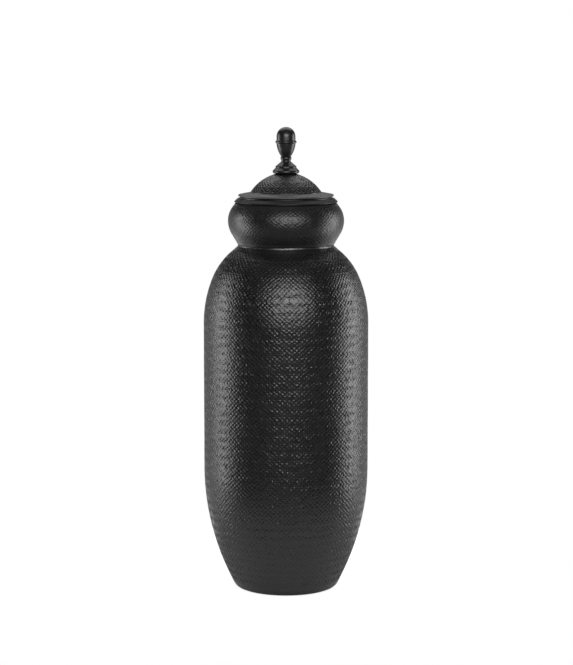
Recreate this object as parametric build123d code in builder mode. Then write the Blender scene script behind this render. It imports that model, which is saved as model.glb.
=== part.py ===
from build123d import *
from math import asin, atan2, cos, degrees, radians, sin, sqrt, tan
import os

os.makedirs("parts", exist_ok=True)

# A tall jar of hammered sheet metal: a raised body, a bulbous neck, a bevelled mouth rim,
# and a lift-off domed lid with a turned finial. Every piece is round about the Z axis.
# The origin is the middle of the foot, on the floor. Millimetres, and degrees for angles.

# Sheet thicknesses
body_sheet = 2.5
base_sheet = 2.5
rim_sheet = 2.2
lid_sheet = 2.2
spigot_sheet = 2.0

# Clearances
base_gap = 0.4
lid_slip = 0.8
spigot_gap = 0.1
stud_gap = 0.2

# Body, from the foot to the neck joint
foot_radius = 73.5
foot_corner = 13.0
foot_lip_width = 9.5
body_radius = 133.0
belly_height = 198.0
shoulder_height = 432.5
shoulder_radius = 193.5
shoulder_angle = 22.2
neck_angle = 49.3
neck_cone_run = 11.0
neck_radius = 76.8
joint_fillet = 1.5
seam_bead = 1.3

# Neck bowl
bowl_radius = 93.4
bowl_lower_radius = 42.0
bowl_lower_angle = 31.0
bowl_upper_radius = 39.0
bowl_upper_angle = 33.5
mouth_cone_run = 4.57
mouth_lip = 0.7

# Mouth rim, from its edge on the bowl's lip to the seat and the throat
rim_overhang = 0.9
rim_edge = 2.2
rim_run = 5.4
rim_rise = 6.3
rim_round = 0.8
seat_width = 7.6
throat_depth = 11.0

# Lid
brim_reveal = 1.1
brim_slope = 11.0
brim_roll = 3.0
brim_stand = 0.8
dome_base_radius = 57.5
dome_curve = 68.0
crown_radius = 14.2
landing_margin = 1.5
landing_width = 9.0
spigot_depth = 14.0

# Finial, a stack on a stud
foot_bead = 3.1
finial_foot_radius = 21.6
finial_foot_height = 9.0
foot_bead_sweep = 150.0
skirt_radius = 16.9
skirt_band = 1.2
skirt_round = 2.5
skirt_angle = 50.0
skirt_cove = 1.2
skirt_neck = 1.6
stem_radius = 7.7
bead_radius = 8.95
bead_height = 5.9
cup_base_radius = 7.9
cup_waist_radius = 13.0
cup_waist_height = 9.8
cup_radius = 15.3
cup_height = 20.4
ring_radius = 17.1
ring_height = 4.9
ring_lift = 0.3
cap_radius = 15.2
cap_side = 11.5

# Stud, washer and nut
stud_radius = 4.0
stud_engage = 10.0
stud_tail = 3.0
washer_radius = 10.0
washer_sheet = 1.6
nut_flats = 13.0
nut_height = 6.5

# Body profile: the taper is one arc that runs tangent into the foot's corner
foot_step = body_radius - foot_radius
belly_lift = belly_height - foot_corner
taper_radius = (foot_step**2 + belly_lift**2 - foot_corner**2) / (2 * (foot_step - foot_corner))
taper_angle = degrees(atan2(belly_lift, taper_radius - foot_step))

# Shoulder: a wide arc, a tighter arc and a short cone up to the neck joint
shoulder_drop = shoulder_radius * (1 - cos(radians(shoulder_angle)))
joint_run = joint_fillet * (1 - cos(radians(neck_angle)))
upper_run = body_radius - neck_radius - shoulder_drop - neck_cone_run - joint_run
upper_radius = upper_run / (cos(radians(shoulder_angle)) - cos(radians(neck_angle)))
neck_cone = neck_cone_run / sin(radians(neck_angle))

with BuildPart() as body_shell:
    with BuildSketch(Plane.XZ) as body_section:
        with BuildLine():
            lip = Line((foot_radius - foot_lip_width, 0), (foot_radius, 0))
            corner = JernArc(lip @ 1, (1, 0), foot_corner, 90 - taper_angle)
            taper = JernArc(corner @ 1, corner % 1, taper_radius, taper_angle)
            side = Line(taper @ 1, (body_radius, shoulder_height))
            shoulder = JernArc(side @ 1, (0, 1), shoulder_radius, shoulder_angle)
            upper = JernArc(shoulder @ 1, shoulder % 1, upper_radius, neck_angle - shoulder_angle)
            cone = PolarLine(upper @ 1, neck_cone, 90 + neck_angle)
            joint = JernArc(cone @ 1, cone % 1, joint_fillet, -neck_angle)
            waist_height = (joint @ 1).Y
            offset(amount=body_sheet, side=Side.LEFT)
        make_face()
    revolve(axis=Axis.Z)
body_shell.part.label = "body_shell"
export_step(body_shell.part, "parts/body_shell.step")

with BuildPart() as base_disc:
    with BuildSketch(Plane.XY.offset(body_sheet)):
        Circle(foot_radius - base_gap)
    extrude(amount=base_sheet)
base_disc.part.label = "base_disc"
export_step(base_disc.part, "parts/base_disc.step")

# Neck bowl: a cone, two arcs that meet upright at the widest point, and a short cone to the lip
bowl_cone_run = (
    bowl_radius
    - neck_radius
    - (bowl_lower_radius + joint_fillet) * (1 - cos(radians(bowl_lower_angle)))
)
bowl_cone = bowl_cone_run / sin(radians(bowl_lower_angle))
mouth_cone = mouth_cone_run / sin(radians(bowl_upper_angle))

with BuildPart() as neck_bowl:
    with BuildSketch(Plane.XZ) as bowl_section:
        with BuildLine():
            root = JernArc((neck_radius, waist_height), (0, 1), joint_fillet, -bowl_lower_angle)
            flare = PolarLine(root @ 1, bowl_cone, 90 - bowl_lower_angle)
            lower = JernArc(flare @ 1, flare % 1, bowl_lower_radius, bowl_lower_angle)
            upper = JernArc(lower @ 1, lower % 1, bowl_upper_radius, bowl_upper_angle)
            taper = PolarLine(upper @ 1, mouth_cone, 90 + bowl_upper_angle)
            neck = JernArc(taper @ 1, taper % 1, joint_fillet, -bowl_upper_angle)
            lip = PolarLine(neck @ 1, mouth_lip, 90)
            bowl_top = (lip @ 1).Y
            offset(amount=body_sheet, side=Side.LEFT)
        make_face()
    revolve(axis=Axis.Z)
neck_bowl.part.label = "neck_bowl"
export_step(neck_bowl.part, "parts/neck_bowl.step")

# Solder bead that fills the bottom of the groove between the body and the bowl
with BuildPart() as neck_seam:
    with BuildSketch(Plane.XZ):
        with Locations((neck_radius, waist_height)):
            Circle(seam_bead)
        add([body_section.sketch_local, bowl_section.sketch_local], mode=Mode.SUBTRACT)
    revolve(axis=Axis.Z)
neck_seam.part.label = "neck_seam"
export_step(neck_seam.part, "parts/neck_seam.step")

# Mouth rim: an upright edge on the bowl's lip, a sloped band, the lid's seat and the throat
mouth_radius = (
    bowl_radius
    - mouth_cone_run
    - (bowl_upper_radius + joint_fillet) * (1 - cos(radians(bowl_upper_angle)))
)
rim_tip_radius = mouth_radius + rim_overhang
seat_radius = rim_tip_radius - rim_run
throat_radius = seat_radius - seat_width
seat_height = bowl_top + rim_edge + rim_rise

with BuildPart() as mouth_rim:
    with BuildSketch(Plane.XZ):
        with BuildLine():
            Polyline(
                (rim_tip_radius, bowl_top),
                (rim_tip_radius, bowl_top + rim_edge),
                (seat_radius, seat_height),
                (throat_radius, seat_height),
                (throat_radius, seat_height - throat_depth),
            )
            offset(amount=rim_sheet, side=Side.LEFT, kind=Kind.INTERSECTION)
        make_face()
    revolve(axis=Axis.Z)
    tip_edges = edges().filter_by(GeomType.CIRCLE).sort_by(SortBy.RADIUS)[-2:]
    fillet(tip_edges, rim_round)
mouth_rim.part.label = "mouth_rim"
export_step(mouth_rim.part, "parts/mouth_rim.step")

# Brim: a flat landing for the dome, a gentle slope and an edge rolled down onto the seat
brim_radius = seat_radius - brim_reveal
landing_radius = dome_base_radius + landing_margin
brim_bore = landing_radius - landing_width
brim_end = brim_radius - brim_roll * (1 - sin(radians(brim_slope)))
brim_fall = (brim_end - landing_radius) * tan(radians(brim_slope))
landing_height = seat_height + brim_stand + brim_roll * cos(radians(brim_slope)) + brim_fall

with BuildPart() as lid_brim:
    with BuildSketch(Plane.XZ):
        with BuildLine():
            landing = Line((brim_bore, landing_height), (landing_radius, landing_height))
            slope = Line(landing @ 1, (brim_end, landing_height - brim_fall))
            roll = JernArc(slope @ 1, slope % 1, brim_roll, brim_slope - 90)
            Line(roll @ 1, (brim_radius, seat_height))
            offset(amount=lid_sheet, side=Side.RIGHT, kind=Kind.INTERSECTION)
        make_face()
    revolve(axis=Axis.Z)
lid_brim.part.label = "lid_brim"
export_step(lid_brim.part, "parts/lid_brim.step")

# Spigot: a plain collar under the brim that centres the lid in the throat
spigot_radius = throat_radius - lid_slip
brim_underside = landing_height - lid_sheet / cos(radians(brim_slope))
spigot_top = brim_underside - (spigot_radius - landing_radius) * tan(radians(brim_slope)) - spigot_gap

with BuildPart() as lid_spigot:
    with BuildSketch(Plane.XY.offset(spigot_top)):
        Circle(spigot_radius)
        Circle(spigot_radius - spigot_sheet, mode=Mode.SUBTRACT)
    extrude(amount=-spigot_depth)
lid_spigot.part.label = "lid_spigot"
export_step(lid_spigot.part, "parts/lid_spigot.step")

# Dome: part of a sphere that stands on the landing, with a flat crown for the finial
dome_inside = dome_curve - lid_sheet
dome_centre = landing_height - sqrt(dome_curve**2 - dome_base_radius**2)
crown_height = dome_centre + sqrt(dome_curve**2 - crown_radius**2)
crown_underside = crown_height - lid_sheet
stud_hole = stud_radius + stud_gap
base_angle = degrees(asin((landing_height - dome_centre) / dome_curve))
crown_angle = degrees(asin((crown_height - dome_centre) / dome_curve))
inside_base_angle = degrees(asin((landing_height - dome_centre) / dome_inside))
inside_crown_angle = degrees(asin((crown_underside - dome_centre) / dome_inside))

with BuildPart() as lid_dome:
    with BuildSketch(Plane.XZ):
        with BuildLine():
            outer = CenterArc((0, dome_centre), dome_curve, base_angle, crown_angle - base_angle)
            inner = CenterArc(
                (0, dome_centre),
                dome_inside,
                inside_base_angle,
                inside_crown_angle - inside_base_angle,
            )
            Line(outer @ 0, inner @ 0)
            Polyline(outer @ 1, (stud_hole, crown_height), (stud_hole, crown_underside), inner @ 1)
        make_face()
    revolve(axis=Axis.Z)
lid_dome.part.label = "lid_dome"
export_step(lid_dome.part, "parts/lid_dome.step")

# Finial foot: a half-round edge and a bevel up to the skirt
with BuildPart() as finial_foot:
    with BuildSketch(Plane.XZ):
        with BuildLine():
            under = Line((stud_hole, crown_height), (finial_foot_radius - foot_bead, crown_height))
            bead = JernArc(under @ 1, (1, 0), foot_bead, foot_bead_sweep)
            Polyline(
                bead @ 1,
                (skirt_radius, crown_height + finial_foot_height),
                (stud_hole, crown_height + finial_foot_height),
                under @ 0,
            )
        make_face()
    revolve(axis=Axis.Z)
finial_foot.part.label = "finial_foot"
export_step(finial_foot.part, "parts/finial_foot.step")

# Finial skirt: a short band, a cone and a coved neck
skirt_base = crown_height + finial_foot_height
skirt_cone_run = (
    skirt_radius
    - stem_radius
    - (skirt_round + skirt_cove) * (1 - cos(radians(skirt_angle)))
)
skirt_cone = skirt_cone_run / sin(radians(skirt_angle))

with BuildPart() as finial_skirt:
    with BuildSketch(Plane.XZ):
        with BuildLine():
            under = Line((stud_hole, skirt_base), (skirt_radius, skirt_base))
            band = PolarLine(under @ 1, skirt_band, 90)
            turn = JernArc(band @ 1, (0, 1), skirt_round, skirt_angle)
            cone = PolarLine(turn @ 1, skirt_cone, 90 + skirt_angle)
            cove = JernArc(cone @ 1, cone % 1, skirt_cove, -skirt_angle)
            neck = PolarLine(cove @ 1, skirt_neck, 90)
            bead_base = (neck @ 1).Y
            Polyline(neck @ 1, (stud_hole, bead_base), under @ 0)
        make_face()
    revolve(axis=Axis.Z)
finial_skirt.part.label = "finial_skirt"
export_step(finial_skirt.part, "parts/finial_skirt.step")

# Finial bead: a gently swollen ring on the stem
cup_base = bead_base + bead_height

with BuildPart() as finial_bead:
    with BuildSketch(Plane.XZ):
        with BuildLine():
            swell = ThreePointArc(
                (stem_radius, bead_base),
                (bead_radius, (bead_base + cup_base) / 2),
                (stem_radius, cup_base),
            )
            Polyline(swell @ 1, (stud_hole, cup_base), (stud_hole, bead_base), swell @ 0)
        make_face()
    revolve(axis=Axis.Z)
finial_bead.part.label = "finial_bead"
export_step(finial_bead.part, "parts/finial_bead.step")

# Finial cup: the lower half of the egg
cap_base = cup_base + cup_height

with BuildPart() as finial_cup:
    with BuildSketch(Plane.XZ):
        with BuildLine():
            flank = ThreePointArc(
                (cup_base_radius, cup_base),
                (cup_waist_radius, cup_base + cup_waist_height),
                (cup_radius, cap_base),
            )
            Polyline(flank @ 1, (stud_hole, cap_base), (stud_hole, cup_base), flank @ 0)
        make_face()
    revolve(axis=Axis.Z)
finial_cup.part.label = "finial_cup"
export_step(finial_cup.part, "parts/finial_cup.step")

# Finial cap: the upper half, with a half-round ring at its edge and a blind hole for the stud
stud_top = cap_base + stud_engage

with BuildPart() as finial_cap:
    with BuildSketch(Plane.XZ):
        with BuildLine():
            under = Line((stud_hole, cap_base), (cup_radius, cap_base))
            groove = PolarLine(under @ 1, ring_lift, 90)
            ring = ThreePointArc(
                groove @ 1,
                (ring_radius, cap_base + ring_lift + ring_height / 2),
                (cap_radius, cap_base + ring_lift + ring_height),
            )
            side = Line(ring @ 1, (cap_radius, cap_base + cap_side))
            JernArc(side @ 1, (0, 1), cap_radius, 90)
            Polyline(
                (0, cap_base + cap_side + cap_radius),
                (0, stud_top + stud_gap),
                (stud_hole, stud_top + stud_gap),
                under @ 0,
            )
        make_face()
    revolve(axis=Axis.Z)
finial_cap.part.label = "finial_cap"
export_step(finial_cap.part, "parts/finial_cap.step")

# Stud, washer and nut that clamp the stack to the dome from below
nut_top = crown_underside - washer_sheet
stud_bottom = nut_top - nut_height - stud_tail

with BuildPart() as finial_stud:
    with BuildSketch(Plane.XY.offset(stud_bottom)):
        Circle(stud_radius)
    extrude(amount=stud_top - stud_bottom)
finial_stud.part.label = "finial_stud"
export_step(finial_stud.part, "parts/finial_stud.step")

with BuildPart() as finial_washer:
    with BuildSketch(Plane.XY.offset(nut_top)):
        Circle(washer_radius)
        Circle(stud_hole, mode=Mode.SUBTRACT)
    extrude(amount=washer_sheet)
finial_washer.part.label = "finial_washer"
export_step(finial_washer.part, "parts/finial_washer.step")

with BuildPart() as finial_nut:
    with BuildSketch(Plane.XY.offset(nut_top - nut_height)):
        RegularPolygon(nut_flats / 2, side_count=6, major_radius=False)
        Circle(stud_hole, mode=Mode.SUBTRACT)
    extrude(amount=nut_height)
finial_nut.part.label = "finial_nut"
export_step(finial_nut.part, "parts/finial_nut.step")
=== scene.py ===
"""Looks of a tall lidded jar of hammered black metal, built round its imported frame."""

import logging
import math
from contextlib import contextmanager
from dataclasses import dataclass, field, replace
from enum import Enum
from typing import Any, Iterator, NamedTuple, Optional, Sequence, Union

import bpy
import numpy as np
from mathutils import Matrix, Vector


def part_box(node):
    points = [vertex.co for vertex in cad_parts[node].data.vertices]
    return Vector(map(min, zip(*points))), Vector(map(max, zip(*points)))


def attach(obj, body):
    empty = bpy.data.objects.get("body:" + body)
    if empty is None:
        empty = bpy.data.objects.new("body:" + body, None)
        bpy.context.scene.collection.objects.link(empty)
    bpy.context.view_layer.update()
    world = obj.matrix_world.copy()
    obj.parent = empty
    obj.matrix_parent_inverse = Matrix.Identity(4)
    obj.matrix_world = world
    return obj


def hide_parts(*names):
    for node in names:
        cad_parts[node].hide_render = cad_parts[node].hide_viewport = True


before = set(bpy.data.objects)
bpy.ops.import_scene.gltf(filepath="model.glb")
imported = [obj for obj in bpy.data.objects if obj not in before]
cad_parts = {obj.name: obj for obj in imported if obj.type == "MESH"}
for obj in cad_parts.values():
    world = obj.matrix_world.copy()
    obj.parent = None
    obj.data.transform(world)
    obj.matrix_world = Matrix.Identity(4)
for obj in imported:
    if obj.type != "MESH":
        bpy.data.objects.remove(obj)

LOG = logging.getLogger("jar")
TURN = 2 * math.pi
HEXAGON = math.pi / 6
MM = 0.001
WELD = 1e-6  # points this close, in metres, become one
TOUCH = 0.02  # points this near to a corner, in millimetres, lie on its ring
SLACK = 1e-6  # part of a step that asks for no further step
BEFORE = 1e-9  # a corner is read this far before it, in millimetres
RANGE = ("From Min", "From Max", "To Min", "To Max")
SOFTLY = {"interpolation_type": "SMOOTHSTEP"}

Array = np.ndarray
Point = tuple[float, float]
Piece = bpy.types.Object
Tree = bpy.types.NodeTree
Node = bpy.types.Node
Source = Union[bpy.types.Node, bpy.types.NodeSocket]


class Body(Enum):
    """Bodies of the frame that pieces ride on."""

    JAR = "jar"
    LID = "lid"


class Grain(Enum):
    """How the fine marks of a finish lie on the piece."""

    SPECKLE = "even in every direction, as on peened or plated metal"
    LATHE = "in rings round the axis, as on spun or turned metal"


class Extent(NamedTuple):
    """Foot, top and largest radius of a CAD node, in millimetres."""

    foot: float
    top: float
    radius: float


def extent(node: str) -> Extent:
    """Reads where a CAD node lies."""
    low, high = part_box(node)
    return Extent(low.z / MM, high.z / MM, high.x / MM)


def linear(code: str) -> tuple[float, float, float, float]:
    """Turns an sRGB hex colour into linear red, green, blue and alpha.

    Args:
        code: colour such as "#1b1b1c".

    Returns:
        Linear colour with full alpha.
    """
    parts = [int(code[i : i + 2], 16) / 255 for i in (1, 3, 5)]
    red, green, blue = (c / 12.92 if c <= 0.04045 else ((c + 0.055) / 1.055) ** 2.4 for c in parts)
    return red, green, blue, 1.0


def add_node(
    tree: Tree,
    kind: str,
    values: Optional[dict[Any, Any]] = None,
    links: Optional[dict[Any, Source]] = None,
    **settings: Any,
) -> Node:
    """Adds a shader node with its settings, its socket values and its incoming links.

    Args:
        tree: node tree that the node joins.
        kind: Blender's name of the node's type, less the ShaderNode that all begin with.
        values: socket name or number, and its constant value.
        links: socket name or number, and the output that feeds it, or the node whose first does.
        **settings: attributes of the node itself.

    Returns:
        The new node.
    """
    made = tree.nodes.new("ShaderNode" + kind)
    for key, value in settings.items():
        setattr(made, key, value)
    for socket, value in (values or {}).items():
        made.inputs[socket].default_value = value
    for socket, source in (links or {}).items():
        tree.links.new(getattr(source, "outputs", [source])[0], made.inputs[socket])
    return made


def fresh_tree(owner: Any) -> Tree:
    """Empties a node tree and hands it out.

    Args:
        owner: material or world that has the tree.

    Returns:
        The tree, with no nodes.
    """
    owner.use_nodes = True
    owner.node_tree.nodes.clear()
    return owner.node_tree


@dataclass(frozen=True)
class Finish:
    """One real finish: what the metal is, how its surface was made and what that gives the eye.

    Colours are sRGB hex values and pattern sizes are millimetres.
    """

    name: str
    colour: str
    tone: str
    roughness: float
    roughness_spread: float
    grain_size: float
    grain_height: float
    patch_size: float
    grain: Grain = Grain.LATHE
    metallic: float = 0.0
    specular: float = 0.5
    hollow_colour: str = ""
    hollow_roughness: float = 0.0
    smears_to_patch: float = 4.0
    patch_detail: float = 4.0
    fine_detail: float = 2.0
    noise_roughness: float = 0.55
    noise_middle: Point = (0.3, 0.7)

    def material(self) -> bpy.types.Material:
        """Builds the material once and hands out the same one after that.

        Returns:
            The finish as a node material.
        """
        if self.name in bpy.data.materials:
            return bpy.data.materials[self.name]
        made = bpy.data.materials.new(self.name)
        tree = fresh_tree(made)
        place = add_node(tree, "TexCoord").outputs["Object"]
        blotches = []
        for where, size, detail in (
            (place, self.patch_size, self.patch_detail),
            (place, self.patch_size / self.smears_to_patch, self.fine_detail),
            (self._grain_place(tree, place), self.grain_size, self.fine_detail),
        ):
            values = {"Scale": 1 / (size * MM), "Detail": detail, "Roughness": self.noise_roughness}
            blotches.append(add_node(tree, "TexNoise", values, {"Vector": where}))
        patches, smears, marks = blotches
        low, high = self.roughness - self.roughness_spread, self.roughness + self.roughness_spread
        share, rough = (
            add_node(tree, "MapRange", dict(zip(RANGE, self.noise_middle + span)), {"Value": noise})
            for noise, span in ((patches, (0.0, 1.0)), (smears, (low, high)))
        )
        tones = {6: linear(self.colour), 7: linear(self.tone)}
        colour = add_node(tree, "Mix", tones, {0: share}, data_type="RGBA").outputs[2]
        if self.hollow_colour:
            colour, rough = self._hollows(tree, colour, rough)
        tooth = {"Strength": 1.0, "Distance": self.grain_height * MM}
        bump = add_node(tree, "Bump", tooth, {"Height": marks})
        constants = {"Metallic": self.metallic, "Specular IOR Level": self.specular}
        links = {"Base Color": colour, "Roughness": rough, "Normal": bump}
        shader = add_node(tree, "BsdfPrincipled", constants, links)
        add_node(tree, "OutputMaterial", links={"Surface": shader})
        return made

    def _grain_place(self, tree: Tree, place: Source) -> Source:
        """Gives the coordinates of the fine marks.

        Args:
            tree: node tree of the material.
            place: object coordinates.

        Returns:
            The same place for a speckle, or radius and height alone for rings round the axis.
        """
        if self.grain is Grain.SPECKLE:
            return place
        flat = add_node(tree, "VectorMath", {1: (1, 1, 0)}, {0: place}, operation="MULTIPLY")
        radius = add_node(tree, "VectorMath", links={0: flat}, operation="LENGTH").outputs["Value"]
        height = add_node(tree, "SeparateXYZ", links={0: place}).outputs["Z"]
        return add_node(tree, "CombineXYZ", links={"X": radius, "Z": height})

    def _hollows(self, tree: Tree, colour: Source, rough: Source) -> tuple[Source, Source]:
        """Darkens and dulls the bottoms of the hammer marks, where the patina isn't rubbed.

        Args:
            tree: node tree of the material.
            colour: colour between the marks.
            rough: roughness between the marks.

        Returns:
            Colour and roughness all over.
        """
        depth = add_node(tree, "Attribute", attribute_name="dent").outputs["Fac"]
        black = {7: linear(self.hollow_colour)}
        mixed = add_node(tree, "Mix", black, {0: depth, 6: colour}, data_type="RGBA")
        more = {1: self.hollow_roughness}
        dull = add_node(tree, "Math", more, {0: depth, 2: rough}, operation="MULTIPLY_ADD")
        return mixed.outputs[2], dull


# Aluminium sheet, hammered over a stake, blackened and waxed: a neutral black with a soft broad
# sheen, deepest and a little duller in the hollows. The tooth that the hammer's face leaves is
# drawn as coarse as it needs to show.
HAMMERED = Finish(
    name="hammered_aluminium_black_patina",
    colour="#141415",
    tone="#191919",
    roughness=0.285,
    roughness_spread=0.04,
    grain=Grain.SPECKLE,
    grain_size=2.6,
    grain_height=0.18,
    patch_size=55.0,
    hollow_colour="#000000",
    hollow_roughness=0.06,
)

# The same sheet with a duller patina, as on the neck, which is handled most.
HANDLED = replace(HAMMERED, name="hammered_aluminium_dull_patina", roughness=0.33)

# Aluminium sheet spun on a former: a deeper black, smooth and less shiny, with faint rings from
# the roller, drawn coarser than the real ones, which are too fine to show.
SPUN = Finish(
    name="spun_aluminium_black_patina",
    colour="#0a0a0b",
    tone="#0f0f10",
    roughness=0.38,
    roughness_spread=0.05,
    specular=0.35,
    grain_size=1.1,
    grain_height=0.01,
    patch_size=40.0,
)

# The spun sheet of the brim, matt and drawn dark grey rather than black: a painted sheen that stands in
# for the pale reflection of the light above, which lies along the brim's top.
SPUN_PAINTED_SHEEN = Finish(
    name="spun_aluminium_painted_sheen",
    colour="#2a2a2b",
    tone="#3a3a3b",
    roughness=0.5,
    roughness_spread=0.05,
    grain_size=1.1,
    grain_height=0.02,
    patch_size=30.0,
)

# Plain sheet that isn't meant to be seen: blackened in the bath, matt, never waxed.
PLAIN = Finish(
    name="plain_aluminium_sheet_black_bath",
    colour="#0d0d0e",
    tone="#121213",
    roughness=0.52,
    roughness_spread=0.08,
    grain_size=1.6,
    grain_height=0.015,
    patch_size=25.0,
)

# Aluminium bar turned on a lathe and polished before it was blackened: smooth, with tight lights
# and a trace of the tool's rings, drawn coarser than the real ones.
TURNED = Finish(
    name="turned_aluminium_black_polish",
    colour="#0c0c0d",
    tone="#111112",
    roughness=0.32,
    roughness_spread=0.04,
    grain_size=0.8,
    grain_height=0.006,
    patch_size=18.0,
)

# Solder run along the joint and blackened with it: lumpy, with a wet shine, and greyer than the sheet,
# partly its own colour and partly a painted highlight that brightens the seam's line of light.
SOLDER = Finish(
    name="run_solder_blackened",
    colour="#2a2a2c",
    tone="#404042",
    roughness=0.36,
    roughness_spread=0.06,
    grain=Grain.SPECKLE,
    grain_size=2.0,
    grain_height=0.05,
    patch_size=14.0,
)

# Zinc plated steel fastener: pale blue grey metal with a cloudy, lightly frosted shine.
ZINC = Finish(
    name="zinc_plated_steel",
    colour="#a9adb3",
    tone="#bfc1c4",
    metallic=1.0,
    roughness=0.36,
    roughness_spread=0.08,
    grain=Grain.SPECKLE,
    grain_size=0.9,
    grain_height=0.008,
    patch_size=4.0,
)


@dataclass
class Outline:
    """Half outline of a round form, drawn as lines and arcs that follow each other.

    Sizes are millimetres. The heading is in degrees: 0 points away from the axis, 90 straight up.
    """

    radius: float
    height: float
    heading: float
    length: float = 0.0
    runs: list[tuple[float, ...]] = field(default_factory=list)

    def line(self, length: float) -> "Outline":
        """Draws a straight stretch along the heading."""
        return self._run(length, 0.0)

    def arc(self, radius: float, turn: float) -> "Outline":
        """Draws an arc that turns the heading by so many degrees, to the left if positive."""
        return self._run(radius * math.radians(abs(turn)), turn)

    def veer(self, turn: float) -> "Outline":
        """Turns the heading on the spot, which leaves a corner."""
        self.heading += turn
        return self

    def _run(self, length: float, turn: float) -> "Outline":
        """Adds one stretch.

        Args:
            length: length along the outline.
            turn: degrees that the heading turns over that length.

        Returns:
            The same outline, so that calls can follow each other.
        """
        bend = math.radians(turn) / length
        self.runs.append((self.length, self.radius, self.height, math.radians(self.heading), bend))
        self.length += length
        radius, height, _, _ = self.at(np.array([self.length]))
        self.radius, self.height = float(radius[0]), float(height[0])
        self.heading += turn
        return self

    def at(self, along: Array) -> tuple[Array, Array, Array, Array]:
        """Finds points on the outline.

        Args:
            along: distances from the outline's start.

        Returns:
            Radius, height, and the radial and upright parts of the direction to the right of the
            heading, which is outwards where the outline climbs.
        """
        starts = np.array([run[0] for run in self.runs])
        pick = np.clip(np.searchsorted(starts, along, side="right") - 1, 0, None)
        start, radius, height, heading, bend = np.moveaxis(np.array(self.runs)[pick], -1, 0)
        half = bend * (along - start) / 2
        chord = (along - start) * np.sinc(half / np.pi)
        end = heading + 2 * half
        return (
            radius + chord * np.cos(heading + half),
            height + chord * np.sin(heading + half),
            np.sin(end),
            -np.cos(end),
        )

    def trace(self, step: float = 8.0) -> list[Point]:
        """Lists the corners of the outline, and points along its arcs at least every few degrees.

        Args:
            step: largest turn between two points, in degrees.

        Returns:
            Radius and height of each point.
        """
        starts = [run[0] for run in self.runs] + [self.length]
        along = [0.0]
        for start, end, run in zip(starts, starts[1:], self.runs):
            steps = math.degrees(abs(run[-1])) * (end - start) / step
            pieces = max(1, math.ceil(steps - SLACK))
            along += [start + (end - start) * (i + 1) / pieces for i in range(pieces)]
        radius, height, _, _ = self.at(np.array(along) - BEFORE)
        return list(zip(radius.tolist(), height.tolist()))


def deselect() -> None:
    """Leaves nothing selected."""
    bpy.ops.object.select_all(action="DESELECT")


def activate(obj: Piece) -> None:
    """Leaves one object selected, and makes it the active one.

    Args:
        obj: the object.
    """
    deselect()
    obj.select_set(True)
    bpy.context.view_layer.objects.active = obj


def smooth(obj: Piece, angle: float = 38.0) -> None:
    """Shades the object smooth, but for edges that fold by more than the angle in degrees."""
    activate(obj)
    bpy.ops.object.shade_smooth_by_angle(angle=math.radians(angle))


@contextmanager
def editing(obj: Piece) -> Iterator[None]:
    """Opens an object in edit mode, with all of its mesh selected, and closes it again.

    Args:
        obj: the object.

    Returns:
        A context in which the object is open.
    """
    activate(obj)
    bpy.ops.object.mode_set(mode="EDIT")
    bpy.ops.mesh.select_all(action="SELECT")
    yield
    bpy.ops.object.mode_set(mode="OBJECT")


def put(name: str, data: Any) -> Piece:
    """Adds an object to the scene.

    Args:
        name: name of the object.
        data: its mesh, light or camera.

    Returns:
        The object, at the origin.
    """
    made = bpy.data.objects.new(name, data)
    bpy.context.scene.collection.objects.link(made)
    return made


def put_mesh(name: str, points: Any, edges: Sequence[Any] = (), faces: Sequence[Any] = ()) -> Piece:
    """Adds a mesh object to the scene.

    Args:
        name: name of the object.
        points: places of its points, in metres.
        edges: numbers of each edge's points.
        faces: numbers of each face's points.

    Returns:
        The object, at the origin.
    """
    mesh = bpy.data.meshes.new(name)
    mesh.from_pydata(points, edges, faces)
    return put(name, mesh)


def named(name: str) -> Piece:
    """Names the primitive that was just added, and puts its place into its mesh.

    Args:
        name: name of the piece.

    Returns:
        The primitive, at the origin.
    """
    made = bpy.context.object
    made.name = made.data.name = name
    bpy.ops.object.transform_apply()
    return made


def points_of(obj: Piece) -> Array:
    """Places of the object's points, in millimetres."""
    return np.array([v.co for v in obj.data.vertices]) / MM


def move_points(obj: Piece, spots: Array) -> None:
    """Moves the object's points to places in millimetres."""
    obj.data.vertices.foreach_set("co", (spots * MM).ravel())
    obj.data.update()


def ends_of(mesh: bpy.types.Mesh) -> Array:
    """Reads which points the edges of a mesh join.

    Args:
        mesh: the mesh.

    Returns:
        Numbers of the two points of each edge.
    """
    ends = np.empty(len(mesh.edges) * 2, np.int32)
    mesh.edges.foreach_get("vertices", ends)
    return ends.reshape(-1, 2)


@dataclass
class Ring:
    """One closed row of points round the axis: their numbers in the mesh and their angles."""

    index: Array
    angle: Array


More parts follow.
